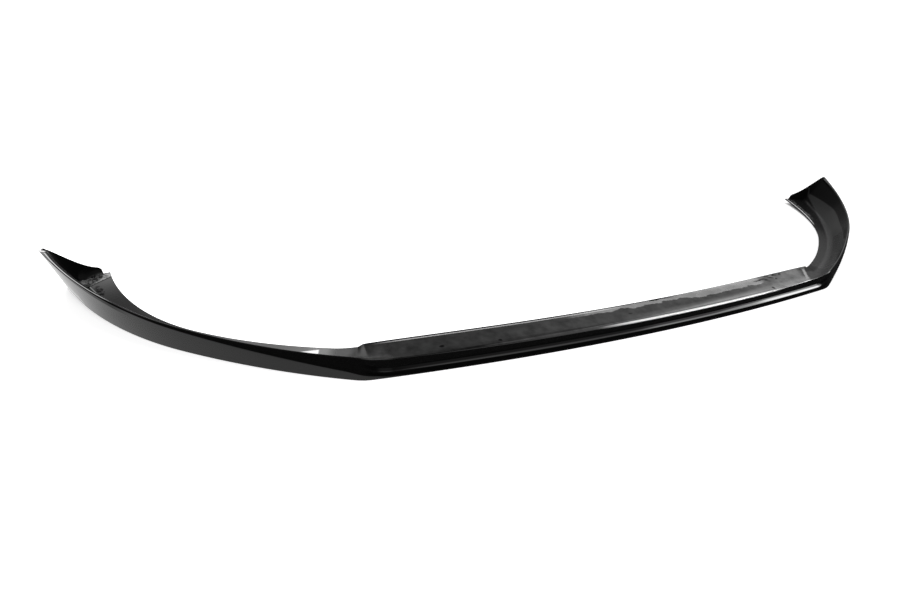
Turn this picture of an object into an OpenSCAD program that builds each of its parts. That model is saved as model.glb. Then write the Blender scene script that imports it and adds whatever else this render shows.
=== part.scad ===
// Front splitter lip for a family car: one formed sheet of gloss black plastic.
// Millimetres. X runs across the car, the lip's front faces -Y, +Z is up.
// The origin is under the middle of the part, on the ground that it rests on.
// The section is swept along the bottom front edge: a flat shelf or wing floor at the back,
// a wall up to a folded rim, and an outer skin that comes down again to a free edge.
// In a section, u is the distance outward from the bottom front edge and z is the height.

/* [Plan line of the bottom front edge] */
// Radius of the long front edge
front_r = 5275; // [4200:25:9000]
// Turn of the front edge from the middle to one corner, degrees
front_turn = 5.49; // [4.5:0.01:6.5]
// Radius of the corner between front and wing
corner_r = 76; // [72:1:110]
// Turn of the corner, degrees
corner_turn = 20; // [14:0.2:24]
// Radius of the front half of a wing
wing_r = 960; // [700:5:1200]
// Turn of the front half of a wing, degrees
wing_turn = 14.7; // [11:0.1:20]
// Radius of the rear half of a wing
tail_r = 360; // [300:5:450]
// Turn of the rear half of a wing, degrees
tail_turn = 38.3; // [30:0.1:44]

/* [Sheet] */
// Thickness of the formed sheet
sheet_t = 3.2; // [2.4:0.1:4]

/* [Middle section] */
// Height of the shelf's top face
shelf_z = 24; // [19:0.5:28]
// Distance from the bottom front edge back to the shelf's rear edge
shelf_back = 61; // [52:1:66]
// The same distance where the shelf ends at the corner
shelf_back_end = 56; // [46:1:60]
// Height of the shelf's rolled front edge in the middle of the car
brow_z_mid = 21.8; // [20:0.2:24]
// Height of the shelf's rolled front edge at the corners
brow_z_end = 25; // [23:0.2:28]
// Distance from the bottom front edge back to the shelf's front edge
brow_back = 12.2; // [10:0.2:15]
// Height of the step above the small ledge
step_z = 13.2; // [12:0.2:15]
// Distance from the bottom front edge back to the inside of the ledge
step_back = 8.2; // [7:0.2:9]
// Height of the ledge's front edge
ledge_z = 9; // [8:0.1:10.5]
// Height of the fullest point of the nose
nose_z = 4.6; // [3.6:0.2:6]
// How far the nose stands out past the bottom front edge
nose_out = 1.2; // [0.4:0.1:2]

/* [Wings] */
// Rim height at the corner
rim_z_front = 32.6; // [29:0.1:36]
// Rim height control half way along a wing
rim_z_mid = 30; // [29:0.1:42]
// Rim height at the wing tip
rim_z_tip = 73.1; // [60:0.1:90]
// Rim position at the corner, outward of the bottom edge
rim_u_front = -10.6; // [-13:0.1:-7]
// Rim position control half way along a wing
rim_u_mid = 0.1; // [-4:0.1:4]
// Rim position at the wing tip
rim_u_tip = 29.3; // [22:0.1:36]
// Width of the folded rim along most of a wing
rim_w_front = 3; // [2.4:0.2:5]
// Width of the folded rim at the wing tip
rim_w_tip = 7.5; // [4:0.5:10]
// Distance of the crease in the outer skin below the rim, at the corner
crease_drop_front = 23.5; // [20:0.5:25]
// Distance of the crease below the rim at the wing tip
crease_drop_tip = 1.1; // [0.8:0.1:4]
// How far the crease stands out past the rim's outer edge, at the corner
crease_out_front = 9.1; // [6:0.1:11]
// How far the crease stands out past the rim's outer edge at the wing tip
crease_out_tip = 0.5; // [0.3:0.1:3]
// Height of the wing floor near the corner
floor_z_front = 16.4; // [10:0.2:18]
// First height control along the wing floor
floor_z_a = 5.8; // [4:0.2:9]
// Second height control along the wing floor
floor_z_b = -2.6; // [-3:0.2:6]
// Height of the wing floor at its rear end
floor_z_tip = 11; // [8:0.5:14]
// Depth of the wing floor near the corner, back from the bottom edge
floor_back_front = 56; // [45:0.5:58]
// First depth control along the wing floor
floor_back_a = 48; // [46:0.5:60]
// Second depth control along the wing floor
floor_back_b = 34.5; // [29:0.5:60]
// Depth of the wing floor at its rear end
floor_back_tip = 63.7; // [55:0.1:72]
// Foot of the inner wall at the corner, back from the bottom edge
foot_back_front = 27; // [24:0.5:30]
// Foot of the inner wall at the rear end, back from the bottom edge
foot_back_tip = 15; // [12:0.5:20]
// Rounding where the floor turns up into the inner wall, measured along each face
foot_round = 9; // [5:0.5:11]

/* [Shelf ends] */
// How far before the corner the middle section starts to turn into the wing section
blend_before = 30; // [20:1:44]
// How far past the corner that turn is complete
blend_after = 14; // [8:1:24]
// Length over which the shelf drops to the wing floor
drop_len = 66; // [50:1:80]
// How far before the corner the drop starts beside the inner wall
drop_before_front = 30; // [16:1:44]
// How far before the corner the drop starts at the rear edge
drop_before_rear = 3; // [0:1:20]
// Length past the turn in which the sections stay close together
close_after = 24; // [12:1:36]

/* [Rear ends] */
// Run of the steep riser that closes the rear of a wing, at its high end
riser_run = 9; // [5:0.5:11]
// Run of the riser at its low inner end
riser_run_low = 2.5; // [1.5:0.5:4]
// Flat width of the riser's top edge
riser_top = 1.2; // [0.8:0.2:3]
// Height of the riser's top edge at its low inner shoulder, above the floor
riser_low = 11; // [6:0.5:13]
// Share of the riser's length in which its inner shoulder rounds down to the floor
riser_round = 0.1; // [0.04:0.01:0.16]
// Length of the floor corner that is left free inside the riser
corner_free = 10; // [6:0.5:14]
// Sag of the riser's top edge below a straight line
riser_sag = 6; // [0:0.5:7]

/* [Smoothness] */
// Sections in the long front edge, from the middle to where the shelf ends
n_front = 8; // [5:1:14]
// Sections through the corner
n_corner = 14; // [9:1:20]
// Sections along a wing
n_wing = 26; // [16:1:34]

/* [Hidden] */
s_front = front_r * front_turn * PI / 180;
s_corner = s_front + corner_r * corner_turn * PI / 180;
s_wing = s_corner + wing_r * wing_turn * PI / 180;
s_end = s_wing + tail_r * tail_turn * PI / 180;
// the wing measure runs from 0 at the middle of the corner to 1 at the rear end
s_zero = (s_front + s_corner) / 2;
// where the middle section turns into the wing section
blend_a = s_front - blend_before;
blend_b = s_corner + blend_after;
fine_to = blend_b + close_after;
// the shelf drops to the wing floor along a slanting line, later at the rear than at the front
drop_front = s_front - drop_before_front;
drop_rear = s_front - drop_before_rear;

function clamp01(x) = min(1, max(0, x));
function smooth(x) = let (k = clamp01(x)) k * k * (3 - 2 * k);
function mix(a, b, k) = a * (1 - k) + b * k;
function curve3(a, b, c, k) = a * (1 - k) * (1 - k) + 2 * b * k * (1 - k) + c * k * k;
function curve4(a, b, c, d, k) =
    a * pow(1 - k, 3) + 3 * b * k * pow(1 - k, 2) + 3 * c * k * k * (1 - k) + d * pow(k, 3);

// one arc of the plan line: start point, start angle, radius and length give the end point
function arc_to(p, a, r, s) = let (b = a + s / r * 180 / PI)
    [p[0] + r * (sin(b) - sin(a)), p[1] + r * (cos(a) - cos(b))];
p_front = arc_to([0, 0], 0, front_r, s_front);
p_corner = arc_to(p_front, front_turn, corner_r, s_corner - s_front);
a_corner = front_turn + corner_turn;
p_wing = arc_to(p_corner, a_corner, wing_r, s_wing - s_corner);
a_wing = a_corner + wing_turn;

function plan_point(s) =
    s <= s_front ? arc_to([0, 0], 0, front_r, s) :
    s <= s_corner ? arc_to(p_front, front_turn, corner_r, s - s_front) :
    s <= s_wing ? arc_to(p_corner, a_corner, wing_r, s - s_corner) :
    arc_to(p_wing, a_wing, tail_r, s - s_wing);
function plan_angle(s) =
    s <= s_front ? s / front_r * 180 / PI :
    s <= s_corner ? front_turn + (s - s_front) / corner_r * 180 / PI :
    s <= s_wing ? a_corner + (s - s_corner) / wing_r * 180 / PI :
    a_wing + (s - s_wing) / tail_r * 180 / PI;

function wing_k(s) = clamp01((s - s_zero) / (s_end - s_zero));
function blend_k(s) = smooth((s - blend_a) / (blend_b - blend_a));
function drop_k(s, start) = let (k = clamp01((s - start) / drop_len)) mix(k * (2 - k), smooth(k), 0.4);
function shelf_depth(s) = mix(shelf_back, shelf_back_end, pow(clamp01(s / s_front), 5));

// heights and offsets that change along the lip
function brow_z(s) = mix(brow_z_mid, brow_z_end, pow(clamp01(s / s_front), 4));
function rim_z(s) = curve3(rim_z_front, rim_z_mid, rim_z_tip, wing_k(s));
function rim_u(s) = curve3(rim_u_front, rim_u_mid, rim_u_tip, wing_k(s));
function rim_w(s) = mix(rim_w_front, rim_w_tip, pow(wing_k(s), 10));
function crease_z(s) = rim_z(s) - mix(crease_drop_tip, crease_drop_front, pow(1 - wing_k(s), 3.2));
function crease_u(s) = rim_u(s) + rim_w(s) / 2
    + mix(crease_out_tip, crease_out_front, pow(1 - wing_k(s), 2.6));
function floor_z(s) = max(sheet_t + 0.4,
    curve4(floor_z_front, floor_z_a, floor_z_b, floor_z_tip, wing_k(s)));
function floor_back(s) =
    curve4(floor_back_front, floor_back_a, floor_back_b, floor_back_tip, wing_k(s));
function foot_back(s) = mix(foot_back_front, foot_back_tip, wing_k(s));

// control points of the top face, from the rear edge over the foot of the inner wall, the two
// edges of the rim, the step, the ledge and the crease or nose down to the bottom front edge
function mid_points(s) = let (b = brow_z(s)) [[-shelf_depth(s), shelf_z], [-brow_back - 7, shelf_z],
    [-brow_back - 1.2, b + 0.3], [-brow_back + 0.3, b - 0.4],
    [-step_back, step_z], [-1, ledge_z], [nose_out, nose_z], [0, 0]];
function wing_points(s) = let (
        in = [rim_u(s) - rim_w(s) / 2, rim_z(s) + 0.1 * rim_w(s)],
        out = [rim_u(s) + rim_w(s) / 2, rim_z(s) - 0.1 * rim_w(s)],
        low = [crease_u(s), crease_z(s)])
    [[-floor_back(s), floor_z(s)], [-foot_back(s), floor_z(s)], in, out,
     mix(out, low, 0.4), mix(out, low, 0.7), low, [0, 0]];
function top_points(s) = let (m = mid_points(s), w = wing_points(s), k = blend_k(s),
        d0 = drop_k(s, drop_rear), d1 = drop_k(s, drop_front))
    [for (i = [0:7]) [mix(m[i][0], w[i][0], k),
        mix(m[i][1], w[i][1], i == 0 ? d0 : i == 1 ? d1 : k)]];

// a corner of a section, rounded: count points on a curve that starts and ends a distance
// before and after the corner
function toward(p, q, d) = let (v = q - p) p + v * min(0.45, d / norm(v));
function rounded(p, v, q, d, count) = let (a = toward(v, p, d), b = toward(v, q, d))
    [for (i = [0:count - 1]) curve3(a, v, b, i / (count - 1))];

// the riser that closes the rear end: height of its top edge over the section, and how much
// of it has risen at a station
function riser_part(s, u) = let (u0 = corner_free - floor_back(s), u1 = rim_u(s) - rim_w(s) / 2)
    (u - u0) / (u1 - u0);
function riser_z(s, u) = let (k = riser_part(s, u), c = clamp01(k),
        high = mix(riser_low, rim_z(s) - floor_z(s), c) - 5 * riser_sag * c * (1 - c) * (1.3 - c))
    k <= 0 ? 0 : floor_z(s) + high * sqrt(1 - pow(1 - clamp01(k / riser_round), 2));
function riser_k(s, u) = let (run = mix(riser_run_low, riser_run, clamp01(2 * riser_part(s, u))))
    clamp01((s - s_end + riser_top + run) / run);

function top_curve(s) = let (c = top_points(s), k = blend_k(s), rr = 0.42 * rim_w(s),
        near = toward(c[1], c[0], foot_round),
        flat = [for (f = [0, 0.22, 0.26, 0.31, 0.38, 0.55, 0.77]) mix(c[0], near, f)],
        foot = rounded(c[0], c[1], c[2], foot_round, 5),
        rim = concat(rounded(c[1], c[2], c[3], mix(0.7, rr, k), 3),
            rounded(c[2], c[3], c[4], mix(0.7, rr, k), 3)),
        step = rounded(c[3], c[4], c[5], 1.4, 3),
        ledge = rounded(c[4], c[5], c[6], 1.4, 3),
        crease = rounded(c[5], c[6], c[7], 1.4, 3),
        inner = concat(flat, foot))
    concat([for (p = inner) [p[0], mix(p[1], max(p[1], riser_z(s, p[0])), riser_k(s, p[0]))]],
        rim, step, ledge, crease, [c[7]]);

// the under face lies one sheet thickness inside the top face
function left_of(a, b) = let (v = (b - a) / norm(b - a)) [v[1], -v[0]];
function inset(p, v, q, t) = let (n = left_of(p, v), m = left_of(v, q))
    v + t * (n + m) / (1 + n * m);
// the fold under the rim is hollow up to the height where its two sides nearly meet
function skin_u(c, z) = z < c[6][1] ? c[6][0] * z / c[6][1] :
    mix(c[6][0], c[3][0], (z - c[6][1]) / (c[3][1] - c[6][1]));
function wall_u(c, z) = mix(c[1][0], c[2][0], (z - c[1][1]) / (c[2][1] - c[1][1]));
function hollow(c, z) = skin_u(c, z) - wall_u(c, z) - 2.25 * sheet_t;
function meet(c, za, zb) = let (ga = hollow(c, za), gb = hollow(c, zb))
    za + (zb - za) * clamp01((ga - 1) / (ga - min(gb, ga - 0.01)));
function fold_top(c) = let (top = c[2][1] - 1.5 * sheet_t, low = max(c[1][1], c[6][1] - 0.5))
    hollow(c, low) < 1 ? meet(c, c[1][1], low) : meet(c, low, max(top, low + 0.5));
function under_mid(s) = let (z = shelf_z - sheet_t)
    [[-shelf_depth(s), z], [-brow_back - 12, z], [-brow_back - 4.4, z], [-brow_back - 3, z - 1.2]];
function under_wing(s) = let (c = wing_points(s), t = sheet_t, z = fold_top(c))
    [c[0] - [0, t], inset(c[0], c[1], c[2], t),
     [wall_u(c, z) + 1.125 * t, z], [skin_u(c, z) - 1.125 * t, z - 0.3]];
function under_curve(s) = let (c = top_points(s), k = blend_k(s), t = sheet_t,
        m = under_mid(s), w = under_wing(s),
        d0 = drop_k(s, drop_rear), d1 = drop_k(s, drop_front),
        u = [for (i = [0:3]) [mix(m[i][0], w[i][0], k),
            mix(m[i][1], w[i][1], i == 0 ? d0 : i == 1 ? d1 : k)]],
        h = inset(c[5], c[6], c[7], t),
        f = smooth((norm(c[6] - c[3]) / t - 0.8) / 1.6),
        e = mix(mix(h, u[3], 0.66), inset(c[3], c[4], c[5], t), f),
        g = mix(mix(h, u[3], 0.33), inset(c[4], c[5], c[6], t), f),
        end = [c[7][0] - t, c[7][1]])
    concat([end], rounded(end, h, g, 1.2, 2), [g, e, u[3], u[2]],
        rounded(u[2], u[1], u[0], mix(3, 6, k), 3), [u[0]]);

function section(s) = concat(top_curve(s), under_curve(s));

// stations along one half, from just off the middle to the rear end
half_stations = concat(
    [for (i = [1:n_front]) blend_a * i / n_front],
    [for (i = [1:n_corner]) mix(blend_a, fine_to, i / n_corner)],
    [for (i = [1:n_wing]) mix(fine_to, s_end - riser_top - riser_run, i / n_wing)],
    [for (f = [0.6, 0.3]) s_end - riser_top - riser_run * f],
    [s_end - riser_top - riser_run_low * 0.6, s_end - riser_top, s_end]);
stations = concat([for (i = [len(half_stations) - 1:-1:0]) -half_stations[i]], [0], half_stations);

function placed(s) = let (a = abs(s), side = s < 0 ? -1 : 1,
        p = plan_point(a), g = plan_angle(a), n = [sin(g), -cos(g)])
    [for (q = section(a)) [side * (p[0] + n[0] * q[0]), p[1] + n[1] * q[0], q[1]]];

loops = [for (s = stations) placed(s)];
ring = len(loops[0]);
y_all = [for (l = loops) for (p = l) p[1]];
y_mid = (min(y_all) + max(y_all)) / 2;
lip_points = [for (l = loops) for (p = l) [p[0], p[1] - y_mid, p[2]]];
lip_faces = concat(
    [for (i = [0:len(loops) - 2]) for (j = [0:ring - 1]) let (m = (j + 1) % ring)
        for (f = [[i * ring + j, (i + 1) * ring + j, (i + 1) * ring + m],
                  [i * ring + j, (i + 1) * ring + m, i * ring + m]]) f],
    [[for (j = [0:ring - 1]) j]],
    [[for (j = [ring - 1:-1:0]) (len(loops) - 1) * ring + j]]);

// Node to build: all, or the name of one

module splitter_lip() {
    color([0.03, 0.03, 0.033])
        polyhedron(points = lip_points, faces = lip_faces, convexity = 8);
}

splitter_lip();
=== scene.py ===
# Front splitter lip: one formed sheet of gloss black plastic, lying on a white studio floor.
# The sheet is drawn again here as one smooth surface on the same lines as the solid part.
# Sizes are in millimetres and degrees; everything that Blender gets is in metres.
from math import cos, pi, radians, sin, sqrt
from types import SimpleNamespace

import bmesh
import bpy
from mathutils import Matrix, Vector


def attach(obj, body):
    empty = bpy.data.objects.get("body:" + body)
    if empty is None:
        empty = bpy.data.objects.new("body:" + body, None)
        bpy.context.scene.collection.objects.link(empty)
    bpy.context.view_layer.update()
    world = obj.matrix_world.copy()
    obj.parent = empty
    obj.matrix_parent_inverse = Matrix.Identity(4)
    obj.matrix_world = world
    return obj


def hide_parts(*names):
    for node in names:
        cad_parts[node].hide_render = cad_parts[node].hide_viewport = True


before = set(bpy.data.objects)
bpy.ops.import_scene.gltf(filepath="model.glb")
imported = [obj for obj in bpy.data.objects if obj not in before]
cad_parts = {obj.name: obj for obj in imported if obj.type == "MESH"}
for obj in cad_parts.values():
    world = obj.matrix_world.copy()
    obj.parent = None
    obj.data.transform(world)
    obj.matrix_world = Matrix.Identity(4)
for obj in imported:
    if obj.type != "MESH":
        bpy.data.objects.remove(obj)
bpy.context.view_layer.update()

MM = 0.001

# ---- driving sizes of the lip; heights are _Z, and _BACK is how far behind the front edge.
# Rows of three or four run from the wing's front to its tip, and pairs are front and tip,
# but CREASE_DROP and CREASE_OUT are tip and front

FRONT_R, FRONT_TURN = 5275, 5.49
CORNER_R, CORNER_TURN = 76, 20
WING_R, WING_TURN = 960, 14.7
TAIL_R, TAIL_TURN = 360, 38.3
SHEET = 3.2
SHELF_Z, SHELF_BACK, SHELF_BACK_END = 24, 61, 56
BROW_Z_MID, BROW_Z_END, BROW_BACK = 21.8, 25, 12.2
STEP_Z, STEP_BACK = 13.2, 8.2
LEDGE_Z, LEDGE_BACK = 9, 1
NOSE_Z, NOSE_OUT = 4.6, 1.2
RIM_Z = (32.6, 30, 73.1)
RIM_U = (-10.6, 0.1, 29.3)
RIM_W = (3, 7.5)
CREASE_DROP = (1.1, 23.5)
CREASE_OUT = (0.5, 9.1)
FLOOR_Z = (16.4, 5.8, -2.6, 11)
FLOOR_BACK = (56, 48, 34.5, 63.7)
FOOT_BACK = (27, 15)
FOOT_ROUND = 9
RISER_RUN, RISER_RUN_LOW, RISER_TOP = 9, 2.5, 1.2
RISER_LOW, RISER_ROUND, CORNER_FREE, RISER_SAG = 11, 0.1, 10, 6
CUT_ROUND, EDGE_TURN = 0.5, 1.4
FOLD_GAP = 2.25
SHARP_ANGLE = 34
CURL_RISE, CURL_WIDTH = 0.45, 11

S_FRONT = FRONT_R * radians(FRONT_TURN)
S_CORNER = S_FRONT + CORNER_R * radians(CORNER_TURN)
S_WING = S_CORNER + WING_R * radians(WING_TURN)
S_END = S_WING + TAIL_R * radians(TAIL_TURN)
S_ZERO = (S_FRONT + S_CORNER) / 2
BLEND_FROM, BLEND_TO = S_FRONT - 30, S_CORNER + 14
DROP_LEN, DROP_FRONT, DROP_REAR = 66, S_FRONT - 30, S_FRONT - 3


def clamp01(x):
    return min(1.0, max(0.0, x))


def smooth(x):
    k = clamp01(x)
    return k * k * (3 - 2 * k)


def mix(a, b, k):
    return a * (1 - k) + b * k


def curve(points, k):
    """A Bezier curve on three or four values or points."""
    while len(points) > 1:
        points = [mix(a, b, k) for a, b in zip(points, points[1:])]
    return points[0]


# ---- the plan line: four arcs along the bottom front edge

def arc_to(start, heading, radius, length):
    turned = heading + length / radius
    return Vector((start[0] + radius * (sin(turned) - sin(heading)),
                   start[1] + radius * (cos(heading) - cos(turned)))), turned


P_FRONT, A_FRONT = arc_to((0, 0), 0, FRONT_R, S_FRONT)
P_CORNER, A_CORNER = arc_to(P_FRONT, A_FRONT, CORNER_R, S_CORNER - S_FRONT)
P_WING, A_WING = arc_to(P_CORNER, A_CORNER, WING_R, S_WING - S_CORNER)


def plan(s):
    """Point and heading of the bottom front edge, s millimetres from the middle."""
    if s <= S_FRONT:
        return arc_to((0, 0), 0, FRONT_R, s)
    if s <= S_CORNER:
        return arc_to(P_FRONT, A_FRONT, CORNER_R, s - S_FRONT)
    if s <= S_WING:
        return arc_to(P_CORNER, A_CORNER, WING_R, s - S_CORNER)
    return arc_to(P_WING, A_WING, TAIL_R, s - S_WING)


# ---- what changes along the lip

def wing_k(s):
    return clamp01((s - S_ZERO) / (S_END - S_ZERO))


def blend_k(s):
    return smooth((s - BLEND_FROM) / (BLEND_TO - BLEND_FROM))


def drop_k(s, start):
    k = clamp01((s - start) / DROP_LEN)
    return mix(k * (2 - k), smooth(k), 0.4)


def soft_drop_k(s, start):
    """The shelf's end, rounded over a few millimetres as formed sheet is."""
    return sum(drop_k(s + d, start) for d in (-4, -2, 0, 2, 4)) / 5


def shelf_depth(s):
    return mix(SHELF_BACK, SHELF_BACK_END, clamp01(s / S_FRONT) ** 5)


def brow_z(s):
    return mix(BROW_Z_MID, BROW_Z_END, clamp01(s / S_FRONT) ** 4)


def rim_z(s):
    return curve(RIM_Z, wing_k(s))


def rim_u(s):
    return curve(RIM_U, wing_k(s))


def rim_w(s):
    return mix(*RIM_W, wing_k(s) ** 10)


def crease_z(s):
    return rim_z(s) - mix(*CREASE_DROP, (1 - wing_k(s)) ** 3.2)


def crease_u(s):
    return rim_u(s) + rim_w(s) / 2 + mix(*CREASE_OUT, (1 - wing_k(s)) ** 2.6)


def floor_z(s):
    return max(SHEET + 0.4, curve(FLOOR_Z, wing_k(s)))


def floor_back(s):
    return curve(FLOOR_BACK, wing_k(s))


def foot_back(s):
    return mix(*FOOT_BACK, wing_k(s))


# ---- the section: u is outward from the bottom front edge, z is up

def mid_points(s):
    brow = brow_z(s)
    return [Vector(p) for p in (
        (-shelf_depth(s), SHELF_Z), (-BROW_BACK - 7, SHELF_Z), (-BROW_BACK - 1.2, brow + 0.3),
        (-BROW_BACK + 0.3, brow - 0.4), (-STEP_BACK, STEP_Z), (-LEDGE_BACK, LEDGE_Z),
        (NOSE_OUT, NOSE_Z), (0, 0))]


def wing_points(s):
    rim_in = Vector((rim_u(s) - rim_w(s) / 2, rim_z(s) + 0.1 * rim_w(s)))
    rim_out = Vector((rim_u(s) + rim_w(s) / 2, rim_z(s) - 0.1 * rim_w(s)))
    low = Vector((crease_u(s), crease_z(s)))
    return [Vector((-floor_back(s), floor_z(s))), Vector((-foot_back(s), floor_z(s))),
            rim_in, rim_out, mix(rim_out, low, 0.4), mix(rim_out, low, 0.7), low, Vector((0, 0))]


def blended(s, middle, wing):
    """Middle section turned into wing section; its first two heights follow the shelf's end."""
    k = blend_k(s)
    rear, front = soft_drop_k(s, DROP_REAR), soft_drop_k(s, DROP_FRONT)
    return [Vector((mix(m.x, w.x, k), mix(m.y, w.y, rear if i == 0 else front if i == 1 else k)))
            for i, (m, w) in enumerate(zip(middle, wing))]


def toward(p, q, d):
    v = q - p
    return p + v * min(0.45, d / v.length)


def rounded(p, v, q, d, count):
    a, b = toward(v, p, d), toward(v, q, d)
    return [curve((a, v, b), i / (count - 1)) for i in range(count)]


def riser_part(s, u):
    u0, u1 = CORNER_FREE - floor_back(s), rim_u(s) - rim_w(s) / 2
    return (u - u0) / (u1 - u0)


def riser_z(s, u):
    k = riser_part(s, u)
    c = clamp01(k)
    high = mix(RISER_LOW, rim_z(s) - floor_z(s), c) - 5 * RISER_SAG * c * (1 - c) * (1.3 - c)
    return floor_z(s) + high * sqrt(1 - (1 - clamp01(k / RISER_ROUND)) ** 2) if k > 0 else 0


def riser_k(s, u):
    run = mix(RISER_RUN_LOW, RISER_RUN, clamp01(2 * riser_part(s, u)))
    return clamp01((s - S_END + RISER_TOP + run) / run)


EDGE_STEPS = (0, 0.15, 0.45, 1, 2, 3.2, 4.6, 6.2, 8, 10, 12)
FLAT_STEPS, FOOT_STEPS, WALL_STEPS, TURN_STEPS = 14, 9, 8, 6


def edge_lift(s, d):
    """Height of the cut rear edge over the flat: a slight curl, then the rounded corner."""
    curl = CURL_RISE * (1 - blend_k(s)) * max(0.0, 1 - d / CURL_WIDTH) ** 2
    fall = CUT_ROUND - sqrt(CUT_ROUND ** 2 - (CUT_ROUND - d) ** 2) if d < CUT_ROUND else 0
    return curl - fall


def top_curve(s):
    c = blended(s, mid_points(s), wing_points(s))
    turn = mix(0.7, 0.42 * rim_w(s), blend_k(s))
    near = toward(c[1], c[0], FOOT_ROUND)
    run = (near - c[0]).length
    steps = list(EDGE_STEPS) + [
        mix(EDGE_STEPS[-1], run, (i + 1) / (FLAT_STEPS + 1)) for i in range(FLAT_STEPS)]
    flat = [c[0] + (near - c[0]) * (d / run) + Vector((0, edge_lift(s, d))) for d in steps]
    foot = rounded(c[0], c[1], c[2], FOOT_ROUND, FOOT_STEPS)
    rim = (rounded(c[1], c[2], c[3], turn, TURN_STEPS)
           + rounded(c[2], c[3], c[4], turn, TURN_STEPS))
    wall = [mix(foot[-1], rim[0], (i + 1) / (WALL_STEPS + 1)) for i in range(WALL_STEPS)]
    inner = [Vector((p.x, mix(p.y, max(p.y, riser_z(s, p.x)), riser_k(s, p.x))))
             for p in flat + foot + wall]
    step = rounded(c[3], c[4], c[5], EDGE_TURN, TURN_STEPS)
    ledge = rounded(c[4], c[5], c[6], EDGE_TURN, TURN_STEPS)
    crease = rounded(c[5], c[6], c[7], EDGE_TURN, TURN_STEPS)
    return inner + rim + step + ledge + crease + [
        mix(crease[-1], c[7], 0.3), mix(crease[-1], c[7], 0.6), toward(c[7], crease[-1], CUT_ROUND)]


# ---- the under face, one sheet thickness inside

def left_of(a, b):
    v = (b - a).normalized()
    return Vector((v.y, -v.x))


def inset(p, v, q, t):
    n, m = left_of(p, v), left_of(v, q)
    return v + (n + m) * (t / (1 + n.dot(m)))


def skin_u(c, z):
    if z < c[6].y:
        return c[6].x * z / c[6].y
    return mix(c[6].x, c[3].x, (z - c[6].y) / (c[3].y - c[6].y))


def wall_u(c, z):
    return mix(c[1].x, c[2].x, (z - c[1].y) / (c[2].y - c[1].y))


def hollow(c, z):
    return skin_u(c, z) - wall_u(c, z) - FOLD_GAP * SHEET


def meet(c, za, zb):
    ga, gb = hollow(c, za), hollow(c, zb)
    return za + (zb - za) * clamp01((ga - 1) / (ga - min(gb, ga - 0.01)))


def fold_top(c):
    top = c[2].y - 1.5 * SHEET
    low = max(c[1].y, c[6].y - 0.5)
    return meet(c, c[1].y, low) if hollow(c, low) < 1 else meet(c, low, max(top, low + 0.5))


def under_mid(s):
    z = SHELF_Z - SHEET
    return [Vector(p) for p in (
        (-shelf_depth(s), z), (-BROW_BACK - 12, z), (-BROW_BACK - 4.4, z), (-BROW_BACK - 3, z - 1.2))]


def under_wing(s):
    c = wing_points(s)
    z = fold_top(c)
    return [c[0] - Vector((0, SHEET)), inset(c[0], c[1], c[2], SHEET),
            Vector((wall_u(c, z) + FOLD_GAP / 2 * SHEET, z)),
            Vector((skin_u(c, z) - FOLD_GAP / 2 * SHEET, z - 0.3))]


def under_curve(s):
    c = blended(s, mid_points(s), wing_points(s))
    u = blended(s, under_mid(s), under_wing(s))
    e, g, h = (inset(c[i - 1], c[i], c[i + 1], SHEET) for i in (4, 5, 6))
    # where the facet under the rim is too narrow for its inner side, the points are spread
    open_k = smooth(((c[6] - c[3]).length / SHEET - 0.8) / 1.6)
    e, g = mix(mix(h, u[3], 0.66), e, open_k), mix(mix(h, u[3], 0.33), g, open_k)
    end = c[7] - Vector((SHEET, 0))
    return ([c[7] - Vector((CUT_ROUND, 0)), end] + rounded(end, h, g, 1.2, 3) + [g, e, u[3], u[2]]
            + rounded(u[2], u[1], u[0], mix(3, 6, blend_k(s)), 5)
            + [toward(u[0], u[1], CUT_ROUND), u[0] + Vector((0, CUT_ROUND))])


def section(s):
    return top_curve(s) + under_curve(s)


def spread(a, b, step):
    """Places from a to b, both ends in, at most a step apart."""
    count = max(1, round((b - a) / step + 0.49))
    return [mix(a, b, i / count) for i in range(count + 1)]


HALF = sorted(set(
    spread(0, S_FRONT - 44, 11) + spread(S_FRONT - 44, S_CORNER + 60, 1.8)
    + spread(S_CORNER + 60, S_END - 15, 5) + spread(S_END - 15, S_END - CUT_ROUND / 2, 0.7)))
STATIONS = [-s for s in reversed(HALF[1:])] + HALF


def depths(s):
    """How far forward and back the section at s reaches, before it is centred."""
    p, heading = plan(s)
    return [p.y - cos(heading) * q.x for q in section(s)]


FRONT_MOST, REAR_MOST = min(depths(0)), max(depths(S_END))
Y_MID = (FRONT_MOST + REAR_MOST) / 2


def ring_at(s, shrink=0.0):
    """One section of the sheet, placed; each point with its run along and across the sheet."""
    a, side = abs(s), -1 if s < 0 else 1
    p, heading = plan(a)
    out = Vector((sin(heading), -cos(heading)))
    points = section(a)
    if shrink:
        count = len(points)
        points = [q + (left_of(points[i - 1], q) + left_of(q, points[(i + 1) % count])) / 2 * shrink
                  for i, q in enumerate(points)]
    across, placed = 0.0, []
    for i, q in enumerate(points):
        across += (q - points[i - 1]).length if i else 0
        at = p + out * q.x
        placed.append((Vector((side * at.x, at.y - Y_MID, q.y)) * MM, s * MM, across * MM))
    return placed


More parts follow.
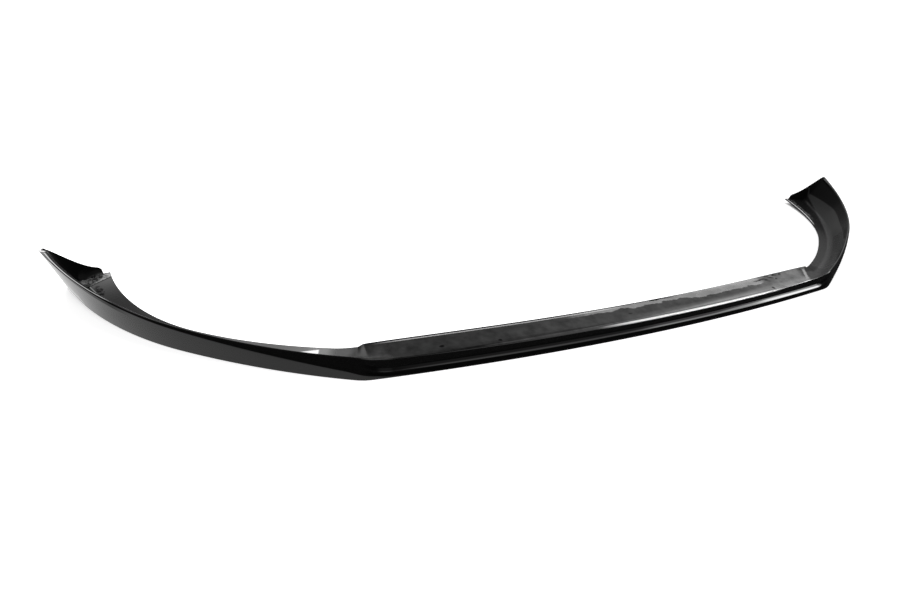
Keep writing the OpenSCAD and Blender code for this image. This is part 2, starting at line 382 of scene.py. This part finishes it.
def formed_sheet(name):
    """Lofts the sheet: one closed section, extruded from station to station."""
    rings = [ring_at(s) for s in STATIONS]
    rings = [ring_at(-S_END, CUT_ROUND / 2)] + rings + [ring_at(S_END, CUT_ROUND / 2)]
    bm = bmesh.new()
    column = bm.verts.layers.int.new("column")
    along = bm.verts.layers.float.new("along")
    across = bm.verts.layers.float.new("across")
    first = [bm.verts.new(p[0]) for p in rings[0]]
    for i, v in enumerate(first):
        v[column] = i
    edges = [bm.edges.new((v, first[(i + 1) % len(first)])) for i, v in enumerate(first)]
    bmesh.ops.contextual_create(bm, geom=edges)
    verts = first
    for k, ring in enumerate(rings):
        if k:
            grown = bmesh.ops.extrude_edge_only(bm, edges=edges)["geom"]
            verts = [g for g in grown if isinstance(g, bmesh.types.BMVert)]
            fresh = set(verts)
            edges = [g for g in grown if isinstance(g, bmesh.types.BMEdge)
                     and g.verts[0] in fresh and g.verts[1] in fresh]
        for v in verts:
            v.co, v[along], v[across] = ring[v[column]]
    bmesh.ops.contextual_create(bm, geom=edges)
    bmesh.ops.recalc_face_normals(bm, faces=bm.faces)
    if bm.calc_volume(signed=True) < 0:
        bmesh.ops.reverse_faces(bm, faces=bm.faces)
    lines = bm.loops.layers.uv.new("sheet_lines")
    for face in bm.faces:
        face.smooth = True
        for loop in face.loops:
            loop[lines].uv = (loop.vert[along], loop.vert[across])
    for edge in bm.edges:
        edge.smooth = len(edge.link_faces) == 2 and edge.calc_face_angle(0) < radians(SHARP_ANGLE)
    mesh = bpy.data.meshes.new(name)
    bm.to_mesh(mesh)
    bm.free()
    piece = bpy.data.objects.new(name, mesh)
    bpy.context.collection.objects.link(piece)
    return piece


# ---- material

def node(tree, kind, links=(), **values):
    """Adds a node; values set its properties or sockets, links are (socket, source)."""
    made = tree.nodes.new(kind)
    for key, value in values.items():
        if hasattr(made, key):
            setattr(made, key, value)
        else:
            made.inputs[key.replace("_", " ")].default_value = value
    for socket, source in links:
        tree.links.new(source, made.inputs[socket])
    return made


def calc(tree, operation, *values):
    """A Math node on sockets and numbers; gives its result."""
    made = tree.nodes.new("ShaderNodeMath")
    made.operation = operation
    for socket, value in zip(made.inputs, values):
        if isinstance(value, (int, float)):
            socket.default_value = value
        else:
            tree.links.new(value, socket)
    return made.outputs[0]


def ramp(tree, value, start, stop):
    """0 at start, 1 at stop, smooth between; start may lie above stop."""
    return node(tree, "ShaderNodeMapRange", [("Value", value)], interpolation_type="SMOOTHSTEP",
                From_Min=start, From_Max=stop).outputs[0]


def times(tree, *masks):
    result = masks[0]
    for mask in masks[1:]:
        result = calc(tree, "MULTIPLY", result, mask)
    return result


def plus(tree, *masks):
    result = masks[0]
    for mask in masks[1:]:
        result = calc(tree, "ADD", result, mask)
    return result


def inside(tree, value, low, high, soft):
    """Mask of a band of values, with its edges softened."""
    return times(tree, ramp(tree, value, low - soft / 2, low + soft / 2),
                 ramp(tree, value, high + soft / 2, high - soft / 2))


def patch(tree, along, across, at_along, at_across, long, wide):
    """Mask of an oval patch; places and half sizes are millimetres along and across."""
    a = calc(tree, "DIVIDE", calc(tree, "SUBTRACT", along, at_along), long)
    b = calc(tree, "DIVIDE", calc(tree, "SUBTRACT", across, at_across), wide)
    reach = plus(tree, times(tree, a, a), times(tree, b, b))
    return ramp(tree, reach, 1.3, 0.5)


def noise(tree, place, scale, detail=2.0, rough=0.5):
    return node(tree, "ShaderNodeTexNoise", [("Vector", place)], Scale=scale, Detail=detail,
                Roughness=rough).outputs["Fac"]


def rest_of(tree, mask):
    return calc(tree, "SUBTRACT", 1, mask)


# ---- where things lie on the sheet, in millimetres: run is along the lip from its middle, and
# across is from the sheet's rear edge to its bottom front edge

MM_PER_M = 1000
WAVER, WAVER_RUN = 14, 10
LEFT_FOLD, LEFT_WING, RIGHT_FOLD, END_SLANT = (-512, -498), (-500, -520), (498, 503), 0.9
RIM_FROM, RIM_ACROSS, RIM_LEAN, RIM_BEND = 520, 45, 0.04, 0.0002
STRIP_WIDTH, STRIP_WIDENS = 12, 8
BROW_BAND, BROW_RUN = (46.2, 50.6), (-60, 330)
GLINT_RUN, GLINT_BAND, GLINT_SLANT = (-640, -590), (9, 60), 0.3
REAR_FOLD_SLANT, REAR_FOLD_BAND = 0.36, (1003.6, 1005.6)
RISER_SLANT, RISER_FROM = 0.2, (1017, 1020)
RIM_LINE_AT, RIM_LINE_LEAN = -49.4, 0.0588
EDGE_BAND, INNER_EDGE_BAND, END_BAND, SCRATCHED_RUN = (3.6, 6), (0.6, 3.4), (491, 499.5), (905, 1010)
LEDGE_BAND, LEDGE_LIT = (57.5, 71), 63.8

# dark scuffs on the shelf: run, across, half length and half width
SHELF_SCUFFS = ((332, 9.6, 12, 1.7), (349, 10.6, 11, 1.9), (368, 4.8, 6, 2), (374, 10.5, 7, 3),
                (391, 6.5, 7, 2.2), (411, 7.6, 6, 2.3), (357, 15, 5, 2.2), (346, 41, 4, 2.4),
                (384, 16, 4, 2), (-390, 32.8, 5, 2.2), (-291, 39, 4, 1.8), (-20, 26, 4, 1.5),
                (70, 3.5, 30, 1.5))
REAR_STAIN = (-973, 28, 15, 7)
WING_SPOT = (867, 31.5, 5, 3)
# a soft painted reflection at the left end of the shelf
PALE_SPOT = (-572, 8, 34, 26)


def sheet_places(tree):
    """The places and grain that every mask starts from; loose ones waver as wear does."""
    at = SimpleNamespace()
    at.place = node(tree, "ShaderNodeTexCoord").outputs["Object"]
    lines = node(tree, "ShaderNodeUVMap", uv_map="sheet_lines").outputs["UV"]
    parts = node(tree, "ShaderNodeSeparateXYZ", [(0, lines)]).outputs
    at.run = calc(tree, "MULTIPLY", parts["X"], MM_PER_M)
    at.across = calc(tree, "MULTIPLY", parts["Y"], MM_PER_M)
    at.from_middle = calc(tree, "ABSOLUTE", at.run)
    waver = calc(tree, "SUBTRACT", noise(tree, at.place, 60, 3), 0.5)
    at.loose = plus(tree, at.across, times(tree, waver, WAVER))
    at.loose_run = plus(tree, at.run, times(tree, waver, WAVER_RUN))
    at.fine = noise(tree, at.place, 240, 3, 0.6)
    at.blotch = noise(tree, at.place, 46, 4, 0.6)
    return at


def add_areas(tree, at):
    """Masks of the shelf, the wings' insides and the riser."""
    at.top = ramp(tree, at.across, 48, 46)
    at.left = ramp(tree, at.run, *LEFT_WING)
    # the shelf ends at a slanting fold on the right, past which the wing's inside starts
    at.end_place = plus(tree, at.run, times(tree, at.loose, END_SLANT))
    at.right = ramp(tree, at.end_place, *RIGHT_FOLD)
    at.shelf = times(tree, at.top, ramp(tree, at.run, *LEFT_FOLD), rest_of(tree, at.right))
    # over_rim is how far across a place lies past the line where the rim starts
    past = calc(tree, "MAXIMUM", plus(tree, at.from_middle, -RIM_FROM), 0)
    rim_start = plus(tree, RIM_ACROSS, times(tree, past, RIM_LEAN), times(tree, past, past, RIM_BEND))
    at.over_rim = calc(tree, "SUBTRACT", at.across, rim_start)
    at.inner = times(tree, ramp(tree, at.over_rim, 1, -2), calc(tree, "MAXIMUM", at.left, at.right))
    at.fold = plus(tree, at.from_middle, times(tree, at.across, REAR_FOLD_SLANT))
    riser_place = plus(tree, at.from_middle, times(tree, at.across, RISER_SLANT))
    at.riser = ramp(tree, riser_place, *RISER_FROM)


def add_lines(tree, at):
    """Masks of the strips and thin lines that more than one look below uses."""
    # the strip along the shelf's rear mirrors more and is painted a paler, mottled tone: a painted
    # reflection
    strip_edge = plus(tree, STRIP_WIDTH, times(tree, ramp(tree, at.run, 110, 165), STRIP_WIDENS))
    at.strip = times(tree, at.shelf, ramp(tree, calc(tree, "SUBTRACT", at.loose, strip_edge), 1, -1),
                     ramp(tree, at.run, -165, -70), ramp(tree, at.loose_run, 352, 326),
                     ramp(tree, at.across, 0.5, 1.2))
    # the front of the shelf mirrors a little more and is painted faintly paler: a painted reflection
    at.front_strip = times(tree, at.shelf, ramp(tree, at.across, 28, 40),
                           ramp(tree, at.run, -150, 150))
    # a painted highlight along the brow's rounding: paler colour, more mirroring and rougher
    at.brow_line = times(tree, inside(tree, at.across, *BROW_BAND, 0.8),
                         inside(tree, at.run, *BROW_RUN, 110))
    # a mottled strip on the left wing's rear floor mirrors more and is painted paler: a painted
    # reflection
    at.rear_strip = times(tree, ramp(tree, at.fold, 1005.5, 1007), ramp(tree, at.across, 50, 44),
                          at.left, rest_of(tree, at.riser), ramp(tree, at.fine, 0.36, 0.62))
    # a thin light line runs along the rim's outer half at the left tip, dark on both sides
    line_place = plus(tree, RIM_LINE_AT, times(tree, at.from_middle, RIM_LINE_LEAN))
    off_line = calc(tree, "SUBTRACT", at.over_rim, line_place)
    at.rim_line = times(tree, ramp(tree, at.run, -865, -900), inside(tree, off_line, -0.6, 0.6, 0.5))
    # at the left tip the rim mirrors more: a painted highlight
    at.tip = times(tree, ramp(tree, at.run, -1008, -1012), inside(tree, at.over_rim, -6, 6, 1))


def mirror_lift(tree, at):
    """How much more than plain sheet a place mirrors, as a change of its index of refraction."""
    # the shelf's right end mirrors more in blotches of its grain: partly grain, partly a painted
    # reflection of the softbox
    right_grain = times(tree, at.shelf, ramp(tree, at.run, 300, 420),
                        calc(tree, "SUBTRACT", at.blotch, 0.35))
    shelf_grain = times(tree, at.shelf, calc(tree, "SUBTRACT", at.blotch, 0.5), 0.9)
    slant = times(tree, plus(tree, at.from_middle, -600), GLINT_SLANT)
    glint = times(tree, inside(tree, at.run, *GLINT_RUN, 3),
                  inside(tree, calc(tree, "SUBTRACT", at.across, slant), *GLINT_BAND, 3),
                  ramp(tree, at.over_rim, 2, 0))
    return plus(tree, times(tree, at.strip, 1.7), times(tree, at.front_strip, 0.5),
                times(tree, right_grain, 1.5), shelf_grain, times(tree, at.rear_strip, 0.4),
                times(tree, glint, 2.2), times(tree, at.brow_line, 3), at.rim_line,
                times(tree, at.tip, 2))


def worn_lines(tree, at):
    """Paler base colour: painted highlights on the shelf's rear edge, its right end and the brow,
    painted reflections on the strips and a spot at the left shelf end, the right wing's inner edge
    painted paler, and real scratches.
    """
    # painted highlight: a paler line just inside the shelf's rear edge, where its curl catches the
    # light
    edge = times(tree, inside(tree, at.across, *EDGE_BAND, 1), inside(tree, at.run, -470, -40, 60))
    inner_edge = times(tree, inside(tree, at.across, *INNER_EDGE_BAND, 0.8),
                       ramp(tree, at.run, 860, 890))
    # painted highlight: a paler band on the fold at the shelf's right end
    end = times(tree, inside(tree, at.end_place, *END_BAND, 4),
                ramp(tree, at.across, 47, 30), ramp(tree, at.across, 4, 12))
    scratches = times(tree, inside(tree, at.run, *SCRATCHED_RUN, 20), ramp(tree, at.loose, 16, 10),
                      ramp(tree, noise(tree, at.place, 420, 2, 0.7), 0.5, 0.6))
    return plus(tree, times(tree, edge, 0.4), times(tree, inner_edge, 0.7), times(tree, end, 0.32),
                times(tree, scratches, 0.2),
                times(tree, at.strip, plus(tree, at.blotch, -0.1), 0.3),
                times(tree, at.front_strip, 0.03), times(tree, at.brow_line, 0.75),
                times(tree, at.rear_strip, 0.16),
                times(tree, patch(tree, at.run, at.across, *PALE_SPOT), 0.06))


def ledge_dark(tree, at):
    """The narrow ledge over the nose mirrors the softbox along a thin line only."""
    lit_from = plus(tree, LEDGE_LIT, times(tree, ramp(tree, at.run, 150, 260), -2))
    lit = times(tree, ramp(tree, calc(tree, "SUBTRACT", at.across, lit_from), -1.6, 1),
                ramp(tree, at.across, 67, 64.8))
    ledge = times(tree, inside(tree, at.across, *LEDGE_BAND, 1), ramp(tree, at.from_middle, 530, 505))
    return times(tree, ledge, rest_of(tree, lit), 0.8)


def dark_marks(tree, at):
    """Places that mirror less and look darker: scuffs, the fold line and a dark patch at the left
    rear end, the tips' walls, the ledge. Along the fold line and the rear edge the darkness is
    painted shade.
    """
    # painted shade: a dark line along the fold at the edge of the rear sheen strip
    fold_line = times(tree, inside(tree, at.fold, *REAR_FOLD_BAND, 0.8),
                      ramp(tree, at.across, 48, 40), at.left)
    stain = times(tree, patch(tree, at.loose_run, at.loose, *REAR_STAIN),
                  ramp(tree, at.fine, 0.35, 0.6))
    tip_wall = times(tree, ramp(tree, at.from_middle, 895, 935), ramp(tree, at.across, 50, 62),
                     ramp(tree, at.over_rim, 4, 1))
    rim_end = plus(tree, 13, times(tree, ramp(tree, at.from_middle, 950, 1008), -5))
    rim = times(tree, ramp(tree, at.run, -840, -880), ramp(tree, at.over_rim, -0.5, 0.5),
                ramp(tree, calc(tree, "SUBTRACT", at.over_rim, rim_end), 0.5, -0.5),
                rest_of(tree, at.rim_line), rest_of(tree, at.tip))
    # painted shade: a dark line along the very rear edge of the shelf
    rear_line = times(tree, ramp(tree, at.across, 3.4, 2.4), inside(tree, at.run, -470, 115, 20))
    dark = plus(tree, times(tree, fold_line, 0.8), times(tree, stain, 0.9),
                times(tree, patch(tree, at.run, at.across, *WING_SPOT), 0.3),
                times(tree, tip_wall, 0.8), times(tree, rim, 0.8),
                times(tree, at.riser, at.left, ramp(tree, at.over_rim, 1, -2), 0.8),
                times(tree, at.left, at.top, inside(tree, at.from_middle, 625, 860, 70), 0.35),
                ledge_dark(tree, at), times(tree, rear_line, 0.7))
    for scuff in SHELF_SCUFFS:
        dark = plus(tree, dark, times(tree, patch(tree, at.loose_run, at.loose, *scuff), 0.9))
    return calc(tree, "MINIMUM", dark, 1)


def add_dull_inside(tree, at):
    """Inside the right wing an even, duller band runs between its floor and dark upper wall; its
    paler colour is a painted reflection.
    """
    bend = calc(tree, "MAXIMUM", calc(tree, "DIVIDE", plus(tree, at.run, -720), 220), 0)
    low_side = plus(tree, 17, times(tree, bend, bend, bend, 20))
    high_side = plus(tree, 57, times(tree, ramp(tree, at.run, 820, 920), 12),
                     times(tree, ramp(tree, at.run, 740, 690), 60))
    at.dull = times(tree, at.inner, at.right)
    # the band's paler colour is a painted reflection; its rougher finish is the sheet's own
    at.dull_band = times(tree, at.dull,
                         ramp(tree, calc(tree, "SUBTRACT", at.across, low_side), -2, 3),
                         ramp(tree, calc(tree, "SUBTRACT", at.across, high_side), 2, -2))
    bare = plus(tree, times(tree, ramp(tree, at.run, 800, 860), at.inner, 0.5),
                times(tree, at.dull_band, -0.5))
    at.bare = calc(tree, "MAXIMUM", bare, 0)


PLAIN_BLACK, PLAIN_ROUGHNESS = 0.003, 0.07
INDEX_LEAST, INDEX_DARK, INDEX_PLAIN_LIFT = 1.05, 1.08, 0.42


def gloss_black():
    """Gloss black plastic with its wear, painted highlights, painted reflections and painted shade;
    masks follow the sheet's own lines.
    """
    material = bpy.data.materials.new("gloss_black_sheet")
    material.use_nodes = True
    tree = material.node_tree
    tree.nodes.clear()
    at = sheet_places(tree)
    add_areas(tree, at)
    add_lines(tree, at)
    add_dull_inside(tree, at)
    dark = dark_marks(tree, at)

    kept = times(tree, rest_of(tree, dark), rest_of(tree, at.bare),
                 rest_of(tree, times(tree, at.dull, 0.5)))
    lift = plus(tree, mirror_lift(tree, at), INDEX_PLAIN_LIFT)
    index = calc(tree, "MAXIMUM", plus(tree, times(tree, kept, lift), INDEX_DARK), INDEX_LEAST)
    shelf_end = times(tree, at.top, inside(tree, at.from_middle, 466, 570, 24))
    roughness = plus(tree, PLAIN_ROUGHNESS, times(tree, at.dull, 0.2), times(tree, at.strip, 0.06),
                     times(tree, shelf_end, 0.24), times(tree, at.brow_line, 0.2))
    # the base colour is black, paler with real scratches and with painted highlights and painted
    # reflections
    base = plus(tree, PLAIN_BLACK, times(tree, at.dull_band, 0.036), times(tree, at.dull, 0.006),
                times(tree, worn_lines(tree, at), rest_of(tree, dark)))

    # long waves of the formed sheet, and the fine peel of its gloss
    waves, peel = noise(tree, at.place, 9, 1), noise(tree, at.place, 420, 2)
    long_bump = node(tree, "ShaderNodeBump", [("Height", waves)], Strength=1, Distance=0.0004)
    bump = node(tree, "ShaderNodeBump", [("Height", peel), ("Normal", long_bump.outputs["Normal"])],
                Strength=1, Distance=0.000004)
    shader = node(tree, "ShaderNodeBsdfPrincipled",
                  [("Normal", bump.outputs["Normal"]), ("IOR", index), ("Roughness", roughness),
                   ("Base Color", base)])
    node(tree, "ShaderNodeOutputMaterial", [("Surface", shader.outputs["BSDF"])])
    return material


lip = formed_sheet("formed_lip_sheet")
lip.data.materials.append(gloss_black())
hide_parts("splitter_lip")
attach(lip, "root")


# ---- studio

def toward_sky(azimuth, elevation):
    """Direction with its azimuth from straight behind the lip (+Y) round to its right (+X)."""
    a, e = radians(azimuth), radians(elevation)
    return Vector((sin(a) * cos(e), cos(a) * cos(e), sin(e)))


def softbox(name, azimuth, elevation, distance, width, height, level):
    """A square-edged lamp that faces the lip; level is how bright its face looks."""
    lamp = bpy.data.lights.new(name, "AREA")
    lamp.shape = "RECTANGLE"
    lamp.size, lamp.size_y = width, height
    lamp.energy = level * pi * width * height
    holder = bpy.data.objects.new(name, lamp)
    bpy.context.collection.objects.link(holder)
    holder.location = toward_sky(azimuth, elevation) * distance
    holder.rotation_euler = (-holder.location).to_track_quat("-Z", "Y").to_euler()
    # the lip mirrors the panels of studio_world instead, which have soft edges
    holder.visible_glossy = False
    return holder


softbox("side_softbox", azimuth=97, elevation=36, distance=8, width=3.4, height=2.6, level=3.5)
softbox("overhead_softbox", azimuth=60, elevation=74, distance=6, width=4, height=4, level=3.6)


# how much the floor is lifted to white for the camera, left and right, and how bright it looks
# in the lip's reflections: on the left, behind the lip, elsewhere, and more at the left tip
FLOOR_GLOW_LEFT, FLOOR_GLOW_RIGHT = 0.95, 0.5
FLOOR_LEFT, FLOOR_BEHIND, FLOOR_DARK, FLOOR_TIP_MORE = 0.74, 0.2, 0.03, 0.3
FLOOR_HALF, FLOOR_GAP, FLOOR_PAINT, SHADE_REACH = 12, 0.0002, 0.82, 0.05


def white_floor():
    bm = bmesh.new()
    bmesh.ops.create_grid(bm, x_segments=1, y_segments=1, size=FLOOR_HALF)
    bmesh.ops.translate(bm, verts=bm.verts, vec=(0, 0, -FLOOR_GAP))
    mesh = bpy.data.meshes.new("studio_floor")
    bm.to_mesh(mesh)
    bm.free()
    floor = bpy.data.objects.new("studio_floor", mesh)
    bpy.context.collection.objects.link(floor)
    material = bpy.data.materials.new("white_floor")
    material.use_nodes = True
    tree = material.node_tree
    tree.nodes.clear()
    place = node(tree, "ShaderNodeTexCoord").outputs["Object"]
    parts = node(tree, "ShaderNodeSeparateXYZ", [(0, place)]).outputs
    left = ramp(tree, parts["X"], -0.44, -0.54)
    behind = times(tree, ramp(tree, parts["Y"], -0.04, 0.08), rest_of(tree, left))
    mirrored = plus(tree, FLOOR_DARK, times(tree, left, FLOOR_LEFT - FLOOR_DARK),
                    times(tree, ramp(tree, parts["X"], -0.82, -0.88), FLOOR_TIP_MORE),
                    times(tree, behind, FLOOR_BEHIND - FLOOR_DARK))
    rays = node(tree, "ShaderNodeLightPath").outputs
    paint = node(tree, "ShaderNodeBsdfDiffuse",
                 [("Color", times(tree, rest_of(tree, rays["Is Glossy Ray"]), FLOOR_PAINT))])
    lifted = plus(tree, FLOOR_GLOW_LEFT, times(tree, ramp(tree, parts["X"], 0.2, 0.7),
                                               FLOOR_GLOW_RIGHT - FLOOR_GLOW_LEFT))
    far = node(tree, "ShaderNodeVectorMath", [(0, place)], operation="LENGTH").outputs["Value"]
    lifted = calc(tree, "MAXIMUM", lifted, ramp(tree, far, 1.1, 1.8))
    # under the lip and close to it the floor stays in shadow
    open_sky = node(tree, "ShaderNodeAmbientOcclusion", samples=8,
                    Distance=SHADE_REACH).outputs["AO"]
    lifted = times(tree, lifted, ramp(tree, open_sky, 0.02, 0.42))
    seen = plus(tree, times(tree, rays["Is Camera Ray"], lifted),
                times(tree, rays["Is Glossy Ray"], mirrored))
    glow = node(tree, "ShaderNodeEmission", [("Strength", seen)], Color=(1, 1, 1, 1))
    both = node(tree, "ShaderNodeAddShader", [(0, paint.outputs[0]), (1, glow.outputs[0])])
    # seen from below, the floor is left out, so that the lip's underside shows
    below = node(tree, "ShaderNodeNewGeometry").outputs["Backfacing"]
    clear = node(tree, "ShaderNodeBsdfTransparent")
    surface = node(tree, "ShaderNodeMixShader",
                   [(0, below), (1, both.outputs[0]), (2, clear.outputs[0])])
    node(tree, "ShaderNodeOutputMaterial", [("Surface", surface.outputs[0])])
    floor.data.materials.append(material)


white_floor()


# panels of the studio as the lip sees them, in degrees: from, to, softness at the sides,
# low, high, softness above and below, and level
STUDIO_DARK = 0.05
STUDIO_PANELS = (
    (-1, 68, 6, -20, 50, 10, 0.36),
    (-17, 3, 5, 19, 29, 4, 0.33),
    (11.5, 21, 3, 32, 37.5, 3, 2.8),
    (6, 17, 5, 39.5, 46, 4, 2.2),
    (-36, 4, 6, 43, 59, 9, 3.6),
    (40, 76, 14, 21.5, 36, 2, 0.22),
    (57, 80, 3, 21.5, 31, 2, 0.4),
    (58, 88, 8, 30, 56, 6, 1.0),
    (92, 109, 6, 25.5, 35.5, 2.5, 9),
    (92, 111, 6, 30, 45.5, 3, 3.8),
    (90, 130, 10, 44, 66, 6, 1.1),
)


def studio_world():
    world = bpy.data.worlds.new("studio")
    bpy.context.scene.world = world
    world.use_nodes = True
    tree = world.node_tree
    tree.nodes.clear()
    sky = node(tree, "ShaderNodeTexCoord").outputs["Generated"]
    parts = node(tree, "ShaderNodeSeparateXYZ", [(0, sky)]).outputs
    turn = calc(tree, "DEGREES", calc(tree, "ARCTAN2", parts["X"], parts["Y"]))
    rise = calc(tree, "DEGREES", calc(tree, "ARCSINE", parts["Z"]))
    total = STUDIO_DARK
    for start, stop, side, low, high, edge, level in STUDIO_PANELS:
        panel = times(tree, inside(tree, turn, start, stop, side),
                      inside(tree, rise, low, high, edge), level)
        total = plus(tree, panel, total)
    seen = node(tree, "ShaderNodeLightPath").outputs["Is Camera Ray"]
    strength = plus(tree, times(tree, rest_of(tree, seen), total), seen)
    back = node(tree, "ShaderNodeBackground", [("Strength", strength)], Color=(1, 1, 1, 1))
    node(tree, "ShaderNodeOutputWorld", [("Surface", back.outputs[0])])


studio_world()

# ---- camera: stands to the left front of the lip, tipped a little to one side

CAMERA_AT = Vector((-0.9319, -0.9496, 0.6960))
CAMERA_TURN, CAMERA_TILT, CAMERA_ROLL = 35.08, -31.67, 11.08
SENSOR_MM, LENS_MM = 36, 30.80


def camera():
    data = bpy.data.cameras.new("studio_camera")
    data.sensor_width, data.lens = SENSOR_MM, LENS_MM
    data.clip_start, data.clip_end = 0.01, 100
    eye = bpy.data.objects.new("studio_camera", data)
    bpy.context.collection.objects.link(eye)
    eye.matrix_world = (
        Matrix.Translation(CAMERA_AT) @ Matrix.Rotation(radians(-CAMERA_TURN), 4, "Z")
        @ Matrix.Rotation(radians(90 + CAMERA_TILT), 4, "X")
        @ Matrix.Rotation(radians(CAMERA_ROLL), 4, "Z"))
    bpy.context.scene.camera = eye


camera()

bpy.context.scene.view_settings.view_transform = "Standard"
